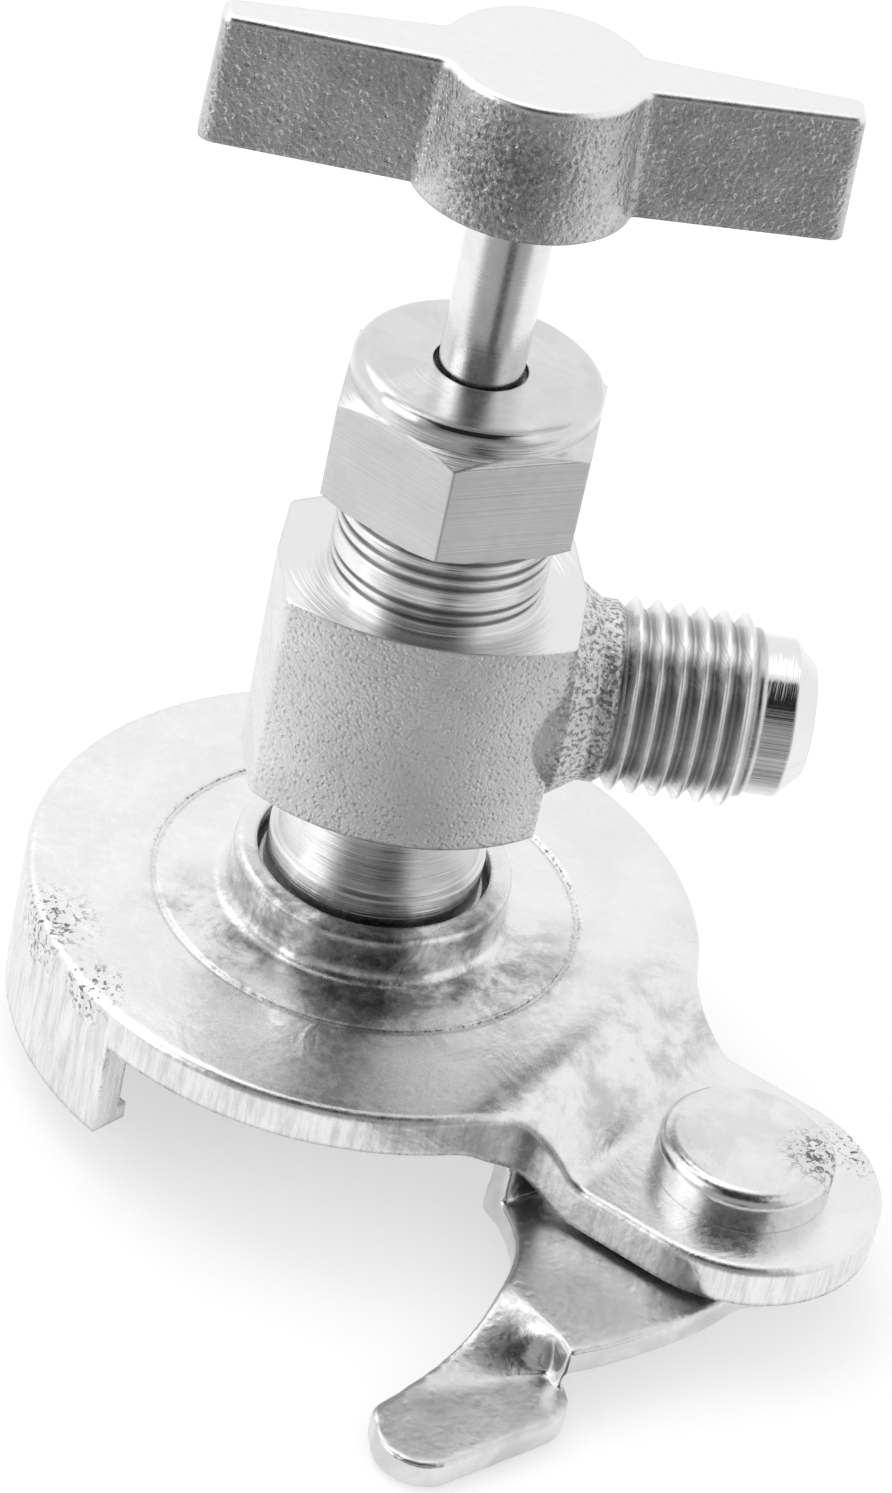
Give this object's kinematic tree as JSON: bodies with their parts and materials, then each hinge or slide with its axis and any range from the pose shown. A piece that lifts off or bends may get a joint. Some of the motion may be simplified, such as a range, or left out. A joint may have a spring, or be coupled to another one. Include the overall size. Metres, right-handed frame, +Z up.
{
  "type": "side-clamping refrigerant can tap valve",
  "caption": "Side-clamping can tap valve with a winged handle, screw-down piercing needle, threaded flare side outlet and a swing lever that locks it on a can rim.",
  "frame": {"origin": "on the stem axis, at the underside of the clamp plate, which is level with the sealing face of the can gasket", "axes": "+Z up along the stem towards the handle, +X out of the flare outlet, +Y away from the swing lever's thumb pad"},
  "size_m": [0.0512, 0.0567, 0.0675],
  "materials": {
    "plated_sheet": "satin",
    "plated_brass": "satin",
    "plated_steel": "polished",
    "cast_handle": "satin",
    "black_rubber": "matte",
    "white_seal": "matte"
  },
  "bodies": {
    "clamp": {"clamp_plate": "plated_sheet", "pivot_rivet": "plated_steel", "friction_washer": "plated_steel", "rivet_washer": "plated_steel"},
    "lever": {"swing_lever": "plated_sheet"},
    "seal": {"can_gasket": "black_rubber", "gasket_backing_washer": "plated_steel"},
    "valve": {"valve_body": "plated_brass", "seat_ring": "white_seal", "neck_stop_ring": "plated_steel", "packing_base_washer": "plated_steel", "packing_ring_lower": "white_seal", "packing_ring_middle": "white_seal", "packing_ring_upper": "white_seal", "gland_follower": "plated_brass", "packing_nut": "plated_brass"},
    "needle": {"piercing_needle": "plated_steel", "needle_clip": "plated_steel"},
    "spindle": {"stem": "plated_steel", "handle": "cast_handle"}
  },
  "joints": [
    {"name": "lever_swing", "type": "hinge", "parent": "clamp", "child": "lever", "pos_m": [0.02255, -0.01556, -0.0052], "axis": [0, 0, 1], "range_deg": [-10, 75]},
    {"name": "seal_travel", "type": "slide", "parent": "clamp", "child": "seal", "axis": [0, 0, 1], "range_m": [-0.00508, 0.00127]},
    {"name": "body_screw", "type": "hinge", "parent": "seal", "child": "valve", "pos_m": [0, 0, 0.004], "axis": [0, 0, 1], "range_deg": [-1450, 370]},
    {"name": "needle_travel", "type": "slide", "parent": "valve", "child": "needle", "axis": [0, 0, 1], "range_m": [-0.005, 0.00016]},
    {"name": "stem_screw", "type": "hinge", "parent": "needle", "child": "spindle", "pos_m": [0, 0, 0.03], "axis": [0, 0, 1], "range_deg": [-1450, 50]}
  ],
  "couplings": [
    {"joint": "body_screw", "follows": "seal_travel", "rad_per_m": 4947.4},
    {"joint": "stem_screw", "follows": "needle_travel", "rad_per_m": 5026.5}
  ]
}
